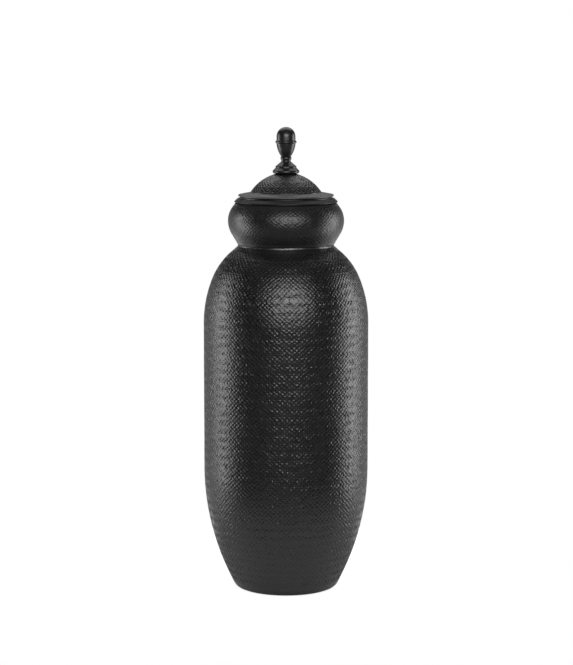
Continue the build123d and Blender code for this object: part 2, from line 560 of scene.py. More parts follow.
class SheetMesh:
    """Points and faces of one piece of sheet metal, gathered ring by ring."""

    def __init__(self) -> None:
        """Starts with no points."""
        self.points: list[Array] = []
        self.dents: list[Array] = []
        self.faces: list[tuple[int, ...]] = []
        self.ridges: list[Array] = []
        self.count = 0

    def add(self, angle: Array, radius: Array, height: Array, dent: Any = 0.0) -> Array:
        """Adds points.

        Args:
            angle: angles round the axis, in radians.
            radius: distances from the axis, in millimetres.
            height: heights, in millimetres.
            dent: how far down in a hammer mark the points lie, from 0 to 1.

        Returns:
            Numbers of the points, in the shape of the angles.
        """
        angle, radius, height = np.broadcast_arrays(angle, radius, height)
        spot = np.stack([radius * np.cos(angle), radius * np.sin(angle), height], -1) * MM
        self.points.append(spot.reshape(-1, 3))
        self.dents.append(np.broadcast_to(dent, angle.shape).ravel())
        first = self.count
        self.count += angle.size
        return np.arange(first, self.count).reshape(angle.shape)

    def sew(self, lower: Ring, upper: Ring) -> None:
        """Joins two rings with triangles, whatever their numbers of points.

        Args:
            lower: ring that comes first along the outline.
            upper: ring that comes next.
        """
        away = (upper.angle - lower.angle[0] + math.pi) % TURN - math.pi
        order = np.roll(np.arange(len(away)), -int(np.argmin(np.abs(away))))
        top = upper.index[order].tolist()
        low = lower.index.tolist()
        rise = np.append(np.unwrap(away[order]), away[order[0]] + TURN)
        base = np.append(np.unwrap(lower.angle) - lower.angle[0], TURN)
        i = j = 0
        while i < len(low) or j < len(top):
            if j == len(top) or (i < len(low) and base[i + 1] <= rise[j + 1]):
                self.faces.append((low[i], low[(i + 1) % len(low)], top[j % len(top)]))
                i += 1
            else:
                self.faces.append((low[i % len(low)], top[(j + 1) % len(top)], top[j]))
                j += 1

    def finish(self, name: str) -> Piece:
        """Makes the object, smooth but for the ridges between its hammer marks.

        Args:
            name: name of the piece.

        Returns:
            The object, at the origin, with the depth of its hammer marks as an attribute.
        """
        made = put_mesh(name, np.concatenate(self.points), faces=self.faces)
        dent = made.data.attributes.new("dent", "FLOAT", "POINT")
        dent.data.foreach_set("value", np.concatenate(self.dents).astype(np.float32))
        smooth(made)
        ridge = np.zeros(self.count, bool)
        ridge[np.concatenate(self.ridges)] = True
        made.data.edges.foreach_set("use_edge_sharp", ridge[ends_of(made.data)].all(1))
        return made


@dataclass
class HammeredSheet:
    """A raised sheet with hammer marks all over its outside.

    Each mark is a shallow dish in a lozenge of the sheet, with a flat bed and four sides that rise
    to the ridges it shares with its neighbours. The rows are shifted by half a mark, as marks are
    that a smith sets between those below, and some rows, and those near the foot, may be struck
    harder. A band keeps one number of marks to the row, and the next band has more or fewer as the
    sheet widens or narrows. The sheet dips only inwards, so it stays inside its true outline.

    Each of thousands of marks is fitted to its neighbours, which edit-mode operators can't do, so
    the mesh is worked out point by point.
    """

    outline: Outline
    thickness: float
    first_mark: float
    last_mark: float
    mark_width: float
    mark_height: float
    mark_depth: float
    seed: int
    depth_spread: float = 0.4
    row_spread: float = 0.0
    row_cycle: int = 4
    foot_length: float = 0.0
    foot_blow: float = 0.6
    bed_share: float = 0.5
    sway: float = 0.11
    sway_limit: float = 1.5
    widening: float = 0.12
    least_levels: int = 4
    band_gap: float = 0.5
    clearance: float = 0.06
    waviness: float = 0.22
    swells: int = 6
    swell_waves: tuple[int, int] = (2, 9)
    swell_length: Point = (70.0, 190.0)
    plain_step: float = 4.0
    inside_step: float = 12.0
    plain_sides: int = 160

    def __post_init__(self) -> None:
        """Draws the slow unevenness of the sheet, and the angles of its plain rings."""
        draw = self.random = np.random.RandomState(self.seed)
        self.waves = []
        for _ in range(self.swells):
            count = draw.randint(*self.swell_waves)
            climb = TURN / draw.uniform(*self.swell_length)
            self.waves.append((count, climb, draw.uniform(0, TURN)))
        self.plain_angle = np.arange(self.plain_sides) * TURN / self.plain_sides

    def spot(self, angle: Array, along: Array, depth: Any = 0.0) -> tuple[Array, Array]:
        """Finds points of the outer face.

        Args:
            angle: angles round the axis.
            along: distances along the outline.
            depth: depths under the true outline.

        Returns:
            Radius and height of each point.
        """
        radius, height, out, up = self.outline.at(along)
        swell = sum(np.sin(n * angle + k * along + start) for n, k, start in self.waves)
        sunk = depth + self.clearance + self.waviness * (1 + swell / self.swells) / 2
        return radius - out * sunk, height - up * sunk

    def bands(self) -> list[tuple[float, float, int]]:
        """Plans the bands, each as long as the sheet keeps about the same width.

        Returns:
            Start, end and number of marks to the row of each band.
        """
        places = np.arange(self.first_mark, self.last_mark, self.mark_height / 2)
        radius = self.outline.at(places)[0]
        edges = [0]
        for level, wide in enumerate(radius):
            if abs(wide / radius[edges[-1]] - 1) > self.widening:
                edges.append(level)
        if len(places) - edges[-1] < self.least_levels:
            edges.pop()
        edges.append(len(places) - 1)
        plan = []
        for low, high in zip(edges, edges[1:]):
            count = round(TURN * radius[(low + high) // 2] / self.mark_width)
            plan.append((places[low] + self.band_gap, places[high], count))
        return plan

    def plain_ring(self, mesh: SheetMesh, along: float, sunk: float = 0.0) -> Ring:
        """Adds a ring with no marks.

        Args:
            mesh: mesh that the ring joins.
            along: place along the outline.
            sunk: distance of the ring under the true outline.

        Returns:
            The ring.
        """
        angle = self.plain_angle
        radius, height, out, up = self.outline.at(np.array([along]))
        return Ring(mesh.add(angle, radius - out * sunk, height - up * sunk), angle)

    def marked_band(self, mesh: SheetMesh, start: float, end: float, count: int) -> tuple[Ring, Ring]:
        """Adds one band of hammer marks.

        Args:
            mesh: mesh that the band joins.
            start: place of the band's first row along the outline.
            end: place of its last row.
            count: number of marks to the row.

        Returns:
            The band's lower and upper rings.
        """
        draw = self.random
        rows = max(2, round(2 * (end - start) / self.mark_height))
        level, place = np.mgrid[0 : rows + 1, 0:count]
        pitch, rise = TURN / count, (end - start) / rows
        loose = ((level > 0) & (level < rows)) * self.sway
        stray = draw.normal(0, 1, (2, rows + 1, count)).clip(-self.sway_limit, self.sway_limit) * loose
        middle = draw.uniform(0, TURN) + (place + level % 2 / 2 + 0.5) * pitch
        angle = middle + (stray[0] - 0.5) * pitch
        along = start + (level + 2 * stray[1]) * rise
        corner = mesh.add(angle, *self.spot(angle, along))
        mesh.ridges.append(corner.ravel())

        aside = (place + level % 2) % count
        left, right = corner, np.roll(corner, -1, 1)
        below = corner[np.maximum(level - 1, 0), aside]
        above = corner[np.minimum(level + 1, rows), aside]
        lozenge = np.stack([left, below, right, above], -1)[1:-1]
        blow = 1 - self.row_spread * np.cos(level * TURN / self.row_cycle)
        self._dish(mesh, lozenge, corner, angle, along, middle[1:-1], blow[1:-1])
        for row, low, high in ((0, right, above), (rows, below, right)):
            half = np.stack([left[row], low[row], high[row]], -1)[None]
            self._dish(mesh, half, corner, angle, along, middle[row][None], blow[row][None])
        return Ring(corner[0], angle[0]), Ring(corner[rows], angle[rows])

    def _dish(
        self,
        mesh: SheetMesh,
        cells: Array,
        corner: Array,
        angle: Array,
        along: Array,
        middle: Array,
        blow: Array,
    ) -> None:
        """Beats a dish into each cell.

        Args:
            mesh: mesh that holds the cells' corners.
            cells: numbers of each cell's corners, round the cell.
            corner: numbers of all the band's corners.
            angle: their angles.
            along: their places along the outline.
            middle: angle of each cell's middle.
            blow: how hard each dish was struck, about 1.
        """
        own, share = cells - corner[0, 0], self.bed_share
        turn = (angle.ravel()[own] - middle[..., None] + math.pi) % TURN - math.pi
        climb = along.ravel()[own]
        turn, climb = (
            value * share + value.mean(-1, keepdims=True) * (1 - share) for value in (turn, climb)
        )
        deep = 1 - self.depth_spread * self.random.uniform(-1, 1, middle.shape + (1,))
        deep = deep * blow[..., None]
        if self.foot_length:
            deep = deep * (1 + self.foot_blow * np.clip(1 - climb / self.foot_length, 0, 1))
        spin = middle[..., None] + turn
        bed = mesh.add(spin, *self.spot(spin, climb, self.mark_depth * deep), dent=np.minimum(deep, 1))
        sides = np.stack([cells, np.roll(cells, -1, -1), np.roll(bed, -1, -1), bed], -1)
        mesh.faces += map(tuple, sides.reshape(-1, 4).tolist())
        mesh.faces += map(tuple, bed.reshape(-1, bed.shape[-1]).tolist())

    def build(self, name: str, closing: Sequence[Point] = ()) -> Piece:
        """Builds the sheet: plain edge, rows of marks, plain edge, the smooth inside and the ends.

        Args:
            name: name of the piece.
            closing: radius and height of the rings that lead from the inside's last ring back to
                the outside's first one.

        Returns:
            The closed sheet.
        """
        mesh, length, angle = SheetMesh(), self.outline.length, self.plain_angle
        rings = [self.plain_ring(mesh, s) for s in self._steps(0.0, self.first_mark)]
        for ring, after in zip(rings, rings[1:]):
            mesh.sew(ring, after)
        ring = rings[-1]
        for start, end, count in self.bands():
            lower, upper = self.marked_band(mesh, start, end, count)
            mesh.sew(ring, lower)
            ring = upper
        inside = np.linspace(length, 0.0, 2 + int(length / self.inside_step))
        rest = [self.plain_ring(mesh, s) for s in self._steps(self.last_mark, length)]
        rest += [self.plain_ring(mesh, s, self.thickness) for s in inside]
        rest += [Ring(mesh.add(angle, np.array([r]), np.array([z])), angle) for r, z in closing]
        for after in rest + rings[:1]:
            mesh.sew(ring, after)
            ring = after
        return mesh.finish(name)

    def _steps(self, start: float, end: float) -> Array:
        """Places the plain rings of an edge, with a little room beside the marks.

        Args:
            start: start of the edge along the outline.
            end: its end.

        Returns:
            Distances along the outline.
        """
        low = start + self.band_gap if start else start
        high = end - self.band_gap if end < self.outline.length else end
        return np.linspace(low, high, 2 + int((high - low) / self.plain_step))


def spin_outline(name: str, outline: Sequence[Point], segments: int) -> Piece:
    """Spins a closed half outline round the axis, as on a lathe.

    Args:
        name: name of the piece.
        outline: radius and height of each point, in millimetres. The last point joins the first.
        segments: number of steps round the axis.

    Returns:
        The closed piece, with its faces outwards.
    """
    points = [(radius * MM, 0.0, height * MM) for radius, height in outline]
    made = put_mesh(name, points, [(i, (i + 1) % len(points)) for i in range(len(points))])
    with editing(made):
        bpy.ops.mesh.spin(steps=segments, angle=TURN, center=(0, 0, 0), axis=(0, 0, 1))
        bpy.ops.mesh.select_all(action="SELECT")
        bpy.ops.mesh.remove_doubles(threshold=WELD)
        bpy.ops.mesh.dissolve_degenerate(threshold=WELD)
        bpy.ops.mesh.delete_loose()
        bpy.ops.mesh.select_all(action="SELECT")
        bpy.ops.mesh.normals_make_consistent(inside=False)
    smooth(made)
    return made


def round_rings(obj: Piece, corners: Sequence[Point], width: float, segments: int = 3) -> None:
    """Bevels the rings of edges that run through some corners of a spun outline.

    Args:
        obj: spun piece.
        corners: radius and height of each corner, in millimetres.
        width: width of the bevel, in millimetres.
        segments: number of steps across the bevel.
    """
    spots, ends = points_of(obj), ends_of(obj.data)
    flat = np.stack([np.hypot(spots[:, 0], spots[:, 1]), spots[:, 2]], -1)
    near = np.stack([np.hypot(*(flat - corner).T) < TOUCH for corner in np.array(corners)])
    chosen = (near[:, ends[:, 0]] & near[:, ends[:, 1]]).any(0)
    with editing(obj):
        bpy.ops.mesh.select_mode(type="EDGE")
        bpy.ops.mesh.select_all(action="DESELECT")
    obj.data.edges.foreach_set("select", chosen)
    bpy.ops.object.mode_set(mode="EDIT")
    bpy.ops.mesh.bevel(offset=width * MM, segments=segments, affect="EDGES")
    bpy.ops.object.mode_set(mode="OBJECT")
    smooth(obj)


def sheet_outline(line: Sequence[Point], thickness: float) -> list[Point]:
    """Gives an open line of sheet its thickness, to the left of its direction.

    Args:
        line: radius and height of the sheet's outer face, from end to end.
        thickness: sheet thickness.

    Returns:
        The closed outline: the line, and then its offset back to the start.
    """
    spots = np.array(line)
    steps = np.diff(spots, axis=0)
    normals = np.stack([-steps[:, 1], steps[:, 0]], -1) / np.hypot(*steps.T)[:, None]
    before = np.vstack([normals[:1], normals])
    after = np.vstack([normals, normals[-1:]])
    mitre = (before + after) / (1 + (before * after).sum(1))[:, None]
    inner = spots + mitre * thickness
    return [tuple(p) for p in np.vstack([spots, inner[::-1]]).tolist()]


def arc_through(start: Point, middle: Point, end: Point, steps: int = 12) -> list[Point]:
    """Lists points on the arc through three points.

    Args:
        start: first point.
        middle: a point between them.
        end: last point.
        steps: number of steps from start to end.

    Returns:
        The points, both ends included.
    """
    a, b, c = (complex(*p) for p in (start, middle, end))
    w = (c - a) / (b - a)
    centre = a + (b - a) * (w - abs(w) ** 2) / (2j * w.imag)
    radius = abs(a - centre)
    first = math.atan2((a - centre).imag, (a - centre).real)
    sweep = (math.atan2((c - centre).imag, (c - centre).real) - first + math.pi) % TURN - math.pi
    turns = [first + sweep * i / steps for i in range(steps + 1)]
    return [(centre.real + radius * math.cos(t), centre.imag + radius * math.sin(t)) for t in turns]


def dress(obj: Piece, finish: Finish, body: Body, node: str) -> None:
    """Gives a piece its finish in a material slot and its body, hides the CAD node that it stands for, and
    reports it.

    Args:
        obj: the piece.
        finish: its finish.
        body: the body that it rides on.
        node: the CAD node that it stands for.
    """
    obj.data.materials.clear()
    obj.data.materials.append(finish.material())
    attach(obj, body.value)
    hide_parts(node)
    triangles = sum(len(face.vertices) - 2 for face in obj.data.polygons)
    LOG.info("%s: %d triangles, %s", obj.name, triangles, finish.name)


@dataclass
class Vessel:
    """The jar's body: raised shell, base disc, neck bowl, solder seam and mouth rim.

    Sizes are millimetres. The solder's thickness is a share of the bead's, and its runs are the
    stretches where it stands full, each with the azimuth of its middle and its half length.
    """

    sheet: float = 2.5
    foot_radius: float = 73.5
    foot_corner: float = 13.0
    foot_lip_width: float = 9.5
    belly_height: float = 198.0
    shoulder_height: float = 432.5
    shoulder_radius: float = 193.5
    shoulder_angle: float = 22.2
    neck_angle: float = 49.3
    neck_cone_run: float = 11.0
    neck_radius: float = 76.8
    joint_fillet: float = 1.5
    base_break: float = 0.6
    base_sides: int = 128
    bowl_lower_radius: float = 42.0
    bowl_lower_angle: float = 31.0
    bowl_upper_radius: float = 37.0
    bowl_upper_angle: float = 36.0
    bowl_lip: float = 0.7
    rim_overhang: float = 1.9
    rim_sheet: float = 2.2
    rim_edge: float = 1.0
    rim_run: float = 5.4
    rim_step: float = 2.4
    rim_gutter: float = 1.5
    rim_rounds: tuple[float, float, float] = (0.25, 0.6, 0.7)
    rim_sides: int = 192
    ledge_reach: float = 2.5
    seat_width: float = 7.6
    seam_bead: float = 1.5
    seam_sides: tuple[int, int] = (300, 12)
    seam_seed: int = 5
    seam_lumps: int = 12
    lump_waves: tuple[int, int] = (9, 60)
    lump_height: float = 0.4
    seam_thin: float = 0.35
    seam_full: float = 0.75
    seam_taper: int = 3
    seam_face: float = 0.62
    seam_lean: float = 13.0
    seam_wander: float = 0.35
    wander_waves: int = 5
    wander_start: int = 1
    seam_runs: tuple[Point, ...] = (
        (-63, 9), (2, 24), (54, 18), (110, 12), (165, 25), (-140, 18), (-100, 10),
    )

    def build(self) -> None:
        """Builds and dresses every piece of the jar."""
        self.build_body()
        self.build_base()
        self.build_bowl()
        self.build_seam()
        self.build_rim()

    def build_body(self) -> None:
        """Raises the hammered body from the foot to the neck joint."""
        step = extent("body_shell").radius - self.foot_radius
        lift = self.belly_height - self.foot_corner
        taper = (step**2 + lift**2 - self.foot_corner**2) / (2 * (step - self.foot_corner))
        taper_angle = math.degrees(math.atan2(lift, taper - step))
        wide, narrow = math.radians(self.shoulder_angle), math.radians(self.neck_angle)
        run = step + self.foot_radius - self.neck_radius - self.neck_cone_run
        run -= self.shoulder_radius * (1 - math.cos(wide)) + self.joint_fillet * (1 - math.cos(narrow))
        outline = Outline(self.foot_radius, 0.0, 0.0)
        outline.arc(self.foot_corner, 90 - taper_angle).arc(taper, taper_angle)
        outline.line(self.shoulder_height - self.belly_height)
        outline.arc(self.shoulder_radius, self.shoulder_angle)
        outline.arc(run / (math.cos(wide) - math.cos(narrow)), self.neck_angle - self.shoulder_angle)
        outline.line(self.neck_cone_run / math.sin(narrow)).arc(self.joint_fillet, -self.neck_angle)
        skin = HammeredSheet(
            outline,
            self.sheet,
            first_mark=22.0,
            last_mark=outline.length - 9.0,
            mark_width=7.6,
            mark_height=6.9,
            mark_depth=0.38,
            row_spread=0.45,
            foot_length=190.0,
            seed=11,
        )
        inner = self.foot_radius - self.foot_lip_width
        body = skin.build("hammered_body", [(inner, self.sheet), (inner, 0.0)])
        dress(body, HAMMERED, Body.JAR, "body_shell")

    def build_base(self) -> None:
        """Cuts the base disc, with a broken edge."""
        low, high, edge = extent("base_disc")
        corners = [(0.0, low), (edge, low), (edge, high), (0.0, high)]
        disc = spin_outline("base_disc_sheet", corners, self.base_sides)
        round_rings(disc, corners[1:3], self.base_break)
        dress(disc, PLAIN, Body.JAR, "base_disc")

    def build_bowl(self) -> None:
        """Raises the hammered bowl of the neck, with finer marks than the body's."""
        foot, _, widest = extent("neck_bowl")
        lower, upper = math.radians(self.bowl_lower_angle), math.radians(self.bowl_upper_angle)
        mouth = extent("mouth_rim").radius - self.rim_overhang
        rise = widest - self.neck_radius
        rise -= (self.bowl_lower_radius + self.joint_fillet) * (1 - math.cos(lower))
        fall = widest - mouth - (self.bowl_upper_radius + self.joint_fillet) * (1 - math.cos(upper))
        straight = fall / math.sin(upper) + self.joint_fillet * math.tan(upper)
        outline = Outline(self.neck_radius, foot, 90.0)
        outline.arc(self.joint_fillet, -self.bowl_lower_angle).line(rise / math.sin(lower))
        outline.arc(self.bowl_lower_radius, self.bowl_lower_angle)
        outline.arc(self.bowl_upper_radius, self.bowl_upper_angle)
        outline.line(straight + self.bowl_lip / math.cos(upper))
        skin = HammeredSheet(
            outline,
            self.sheet,
            first_mark=6.0,
            last_mark=outline.length - 4.0,
            mark_width=7.2,
            mark_height=5.4,
            mark_depth=0.25,
            waviness=0.15,
            seed=23,
        )
        bowl = skin.build("hammered_neck_bowl")
        dress(bowl, HANDLED, Body.JAR, "neck_bowl")

    def build_seam(self) -> None:
        """Runs a lumpy bead of solder round the joint of body and bowl."""
        level = extent("neck_bowl").foot
        deselect()
        bpy.ops.mesh.primitive_torus_add(
            major_radius=self.neck_radius * MM,
            minor_radius=self.seam_bead * MM,
            major_segments=self.seam_sides[0],
            minor_segments=self.seam_sides[1],
            location=(0, 0, level * MM),
        )
        seam = named("solder_seam")
        draw = np.random.RandomState(self.seam_seed)
        spots = points_of(seam)
        angle = np.arctan2(spots[:, 1], spots[:, 0])
        lumps = [(draw.randint(*self.lump_waves), draw.uniform(0, TURN)) for _ in range(self.seam_lumps)]
        swell = sum(np.sin(n * angle + start) for n, start in lumps) / self.seam_lumps
        size = self.seam_thin + self.lump_height * swell
        for azimuth, half in self.seam_runs:
            away = (np.degrees(angle) + 90 - azimuth + 180) % 360 - 180
            fade = self.seam_taper - self.seam_taper * np.abs(away) / half
            size += self.seam_full * np.clip(fade, 0, 1)
        out = (np.hypot(spots[:, 0], spots[:, 1]) - self.neck_radius) * size
        up = (spots[:, 2] - level) * size
        face = self.seam_face * self.seam_bead * size - math.tan(math.radians(self.seam_lean)) * up
        radius = self.neck_radius + np.minimum(out, face)
        wander = self.seam_wander * np.sin(self.wander_waves * angle + self.wander_start)
        height = level + up + wander
        move_points(seam, np.stack([radius * np.cos(angle), radius * np.sin(angle), height], -1))
        smooth(seam)
        # The solder's grey is partly a painted highlight along the seam.
        dress(seam, SOLDER, Body.JAR, "neck_seam")

    def build_rim(self) -> None:
        """Spins the bevelled mouth rim with the lid's seat and the throat."""
        deep, seat, tip = extent("mouth_rim")
        lip = extent("neck_bowl").top
        inner = tip - self.rim_run
        throat = inner - self.seat_width
        ledge, low = extent("lid_brim").radius - self.ledge_reach, seat - self.rim_step
        line = [(tip, lip), (tip, lip + self.rim_edge), (inner, low), (ledge, low - self.rim_gutter)]
        line += [(ledge, seat), (throat, seat), (throat, deep)]
        rim = spin_outline("spun_mouth_rim", sheet_outline(line, self.rim_sheet), self.rim_sides)
        for corners, width in zip((line[:1], line[1:2], [line[2], line[4], line[5]]), self.rim_rounds):
            round_rings(rim, corners, width)
        dress(rim, SPUN, Body.JAR, "mouth_rim")


@dataclass
class Lid:
    """The lift-off lid: brim, spigot and dome, in millimetres."""

    sheet: float = 2.2
    brim_slope: float = 11.0
    brim_roll: float = 0.9
    brim_gap: float = 1.0
    brim_touches: int = 3
    brim_sides: int = 192
    landing_margin: float = 1.5
    landing_width: float = 9.0
    spigot_sheet: float = 2.0
    spigot_round: float = 0.9
    spigot_sides: int = 160
    dome_curve: float = 68.0
    crown_radius: float = 14.2

    def build(self) -> None:
        """Builds and dresses every sheet of the lid."""
        self.build_brim()
        self.build_spigot()
        self.build_dome()

    def build_brim(self) -> None:
        """Spins the brim, whose rolled edge touches the seat at three places only."""
        seat, landing, edge = extent("lid_brim")
        inner = extent("lid_dome").radius + self.landing_margin
        slope = math.radians(self.brim_slope)
        end = edge - self.brim_roll * (1 - math.sin(slope))
        line = Outline(inner - self.landing_width, landing, 0.0).line(self.landing_width)
        line.veer(-self.brim_slope).line((end - inner) / math.cos(slope))
        line.arc(self.brim_roll, self.brim_slope - 90).line(line.height - seat - self.brim_roll)
        outline = sheet_outline(line.trace()[::-1], self.sheet)
        brim = spin_outline("spun_lid_brim", outline, self.brim_sides)
        spots = points_of(brim)
        angle = np.arctan2(spots[:, 1], spots[:, 0]) + math.pi / 2
        gap = self.brim_gap * (0.5 - 0.5 * np.cos(self.brim_touches * angle + math.pi))
        spots[:, 2] = np.maximum(spots[:, 2], seat + gap)
        move_points(brim, spots)
        # The brim's dark grey is a painted sheen for the light that lies along its top.
        dress(brim, SPUN_PAINTED_SHEEN, Body.LID, "lid_brim")

    def build_spigot(self) -> None:
        """Rolls the collar that centres the lid in the throat."""
        low, high, outer = extent("lid_spigot")
        inner = outer - self.spigot_sheet
        corners = [(outer, low), (outer, high), (inner, high), (inner, low)]
        collar = spin_outline("rolled_lid_spigot", corners, self.spigot_sides)
        round_rings(collar, [corners[0], corners[3]], self.spigot_round)
        dress(collar, PLAIN, Body.LID, "lid_spigot")

    def build_dome(self) -> None:
        """Raises the hammered dome with a flat crown under the finial."""
        landing, _, base = extent("lid_dome")
        start = math.degrees(math.acos(base / self.dome_curve))
        end = math.degrees(math.acos(self.crown_radius / self.dome_curve))
        outline = Outline(base, landing, 90 + start).arc(self.dome_curve, end - start)
        skin = HammeredSheet(
            outline,
            self.sheet,
            first_mark=2.5,
            last_mark=outline.length - 7.0,
            mark_width=7.0,
            mark_height=5.4,
            mark_depth=0.42,
            waviness=0.3,
            seed=37,
        )
        dome = skin.build("hammered_lid_dome")
        dress(dome, HAMMERED, Body.LID, "lid_dome")


@dataclass
class Finial:
    """The turned knob: a stack of rings, a cup and a cap on a stud, in millimetres."""

    bore: float = 4.2
    stud_room: float = 0.2
    foot_bead: float = 3.1
    foot_bead_sweep: float = 150.0
    skirt_band: float = 1.2
    skirt_round: float = 2.5
    skirt_angle: float = 50.0
    skirt_cove: float = 1.2
    skirt_neck: float = 1.6
    stem_radius: float = 7.7
    cup_base_radius: float = 7.9
    cup_waist_radius: float = 13.0
    cup_waist_height: float = 9.8
    ring_height: float = 4.9
    ring_lift: float = 0.3
    cap_radius: float = 15.2
    cap_side: float = 11.5
    segments: int = 96

    def build(self) -> None:
        """Turns and dresses each piece of the knob."""
        outlines = {
            "finial_foot": self.foot_outline(),
            "finial_skirt": self.skirt_outline(),
            "finial_bead": self.bead_outline(),
            "finial_cup": self.cup_outline(),
            "finial_cap": self.cap_outline(),
        }
        for node, outline in outlines.items():
            piece = spin_outline("turned_" + node, outline, self.segments)
            dress(piece, TURNED, Body.LID, node)

    def foot_outline(self) -> list[Point]:
        """Draws the foot: a half-round edge and a bevel up to the skirt.

        Returns:
            Radius and height of each point.
        """
        low, high, edge = extent("finial_foot")
        line = Outline(self.bore, low, 0.0).line(edge - self.foot_bead - self.bore)
        line.arc(self.foot_bead, self.foot_bead_sweep)
        return line.trace() + [(extent("finial_skirt").radius, high), (self.bore, high)]

    def skirt_outline(self) -> list[Point]:
        """Draws the skirt: a short band, a cone and a coved neck.

        Returns:
            Radius and height of each point.
        """
        low, high, edge = extent("finial_skirt")
        lean = math.radians(self.skirt_angle)
        run = edge - self.stem_radius - (self.skirt_round + self.skirt_cove) * (1 - math.cos(lean))
        line = Outline(edge, low, 90.0).line(self.skirt_band).arc(self.skirt_round, self.skirt_angle)
        line.line(run / math.sin(lean)).arc(self.skirt_cove, -self.skirt_angle).line(self.skirt_neck)
        return line.trace() + [(self.bore, high), (self.bore, low)]

    def bead_outline(self) -> list[Point]:
        """Draws the gently swollen bead on the stem.

        Returns:
            Radius and height of each point.
        """
        low, high, edge = extent("finial_bead")
        swell = arc_through((self.stem_radius, low), (edge, (low + high) / 2), (self.stem_radius, high))
        return swell + [(self.bore, high), (self.bore, low)]

    def cup_outline(self) -> list[Point]:
        """Draws the cup, the lower half of the egg.

        Returns:
            Radius and height of each point.
        """
        low, high, edge = extent("finial_cup")
        waist = (self.cup_waist_radius, low + self.cup_waist_height)
        flank = arc_through((self.cup_base_radius, low), waist, (edge, high))
        return flank + [(self.bore, high), (self.bore, low)]

    def cap_outline(self) -> list[Point]:
        """Draws the cap, the upper half of the egg, with a ring at its edge.

        Returns:
            Radius and height of each point.
        """
        low, top, edge = extent("finial_cap")
        groove = (extent("finial_cup").radius, low + self.ring_lift)
        crest = (edge, groove[1] + self.ring_height / 2)
        ring = arc_through(groove, crest, (self.cap_radius, groove[1] + self.ring_height))
        side = low + self.cap_side - ring[-1][1]
        crown = Outline(*ring[-1], 90.0).line(side).arc(self.cap_radius, 90.0)
        deep = extent("finial_stud").top + self.stud_room
        outline = [(self.bore, low), (groove[0], low)] + ring[:-1] + crown.trace()[:-1]
        return outline + [(0.0, top), (0.0, deep), (self.bore, deep)]


@dataclass
class Fasteners:
    """Stud, washer and nut that hold the finial to the dome, in millimetres."""

    bore: float = 4.2
    thread_pitch: float = 1.25
    thread_depth: float = 0.65
    thread_steps: int = 24
    thread_fold: float = 25.0
    spare_turns: int = 2
    washer_round: float = 0.35
    washer_sides: int = 64
    nut_face: float = 0.96
    nut_margin: float = 0.5
    nut_chamfer: float = 30.0
    nut_fold: float = 20.0
    cutter_sides: int = 48

    def build(self) -> None:
        """Builds and dresses the three fasteners."""
        self.build_stud()
        self.build_washer()
        self.build_nut()

    def build_stud(self) -> None:
        """Cuts the stud's thread as a toothed line that a screw modifier winds up by one pitch."""
        low, high, radius = extent("finial_stud")
        teeth = math.ceil((high - low) / self.thread_pitch) + self.spare_turns
        levels = low - self.thread_pitch + self.thread_pitch * np.arange(2 * teeth + 1) / 2
        crests = radius - self.thread_depth * (np.arange(len(levels)) % 2)
        spots = [(r * MM, 0.0, z * MM) for r, z in zip(crests, levels)]
        stud = put_mesh("threaded_stud", spots, [(i, i + 1) for i in range(len(spots) - 1)])
        activate(stud)
        wind = stud.modifiers.new("thread", "SCREW")
        wind.angle, wind.screw_offset = TURN, self.thread_pitch * MM
        wind.steps = wind.render_steps = self.thread_steps
        bpy.ops.object.modifier_apply(modifier=wind.name)
        with editing(stud):
            bpy.ops.mesh.remove_doubles(threshold=WELD)
            for level, upper in ((low, False), (high, True)):
                bpy.ops.mesh.select_all(action="SELECT")
                bpy.ops.mesh.bisect(
                    plane_co=(0, 0, level * MM),
                    plane_no=(0, 0, 1),
                    use_fill=True,
                    clear_inner=not upper,
                    clear_outer=upper,
                )
            bpy.ops.mesh.select_all(action="SELECT")
            bpy.ops.mesh.normals_make_consistent(inside=False)
        smooth(stud, self.thread_fold)
        dress(stud, ZINC, Body.LID, "finial_stud")

    def build_washer(self) -> None:
        """Punches the washer, rounded on its punched side."""
        low, high, edge = extent("finial_washer")
        corners = [(self.bore, low), (edge, low), (edge, high), (self.bore, high)]
        washer = spin_outline("punched_washer", corners, self.washer_sides)
        round_rings(washer, corners[:2], self.washer_round)
        dress(washer, ZINC, Body.LID, "finial_washer")

    def build_nut(self) -> None:
        """Forges the hexagon nut: a six-sided bar, cut to a double cone and bored."""
        low, high, corner = extent("finial_nut")
        deselect()
        bpy.ops.mesh.primitive_cylinder_add(
            vertices=6,
            radius=corner * MM,
            depth=(high - low) * MM,
            location=(0, 0, (low + high) / 2 * MM),
            rotation=(0, 0, HEXAGON),
        )
        nut = named("forged_nut")
        face, wide = self.nut_face * (corner * math.cos(HEXAGON)), corner + self.nut_margin
        drop = (wide - face) * math.tan(math.radians(self.nut_chamfer))
        cones = [(face, low), (wide, low + drop), (wide, high - drop), (face, high)]
        cones += [(self.bore, high), (self.bore, low)]
        cutter = spin_outline("nut_cutter", cones, self.cutter_sides)
        activate(nut)
        cut = nut.modifiers.new("chamfer", "BOOLEAN")
        cut.object, cut.operation, cut.solver = cutter, "INTERSECT", "EXACT"
        bpy.ops.object.modifier_apply(modifier=cut.name)
        bpy.data.objects.remove(cutter)
        smooth(nut, self.nut_fold)
        dress(nut, ZINC, Body.LID, "finial_nut")


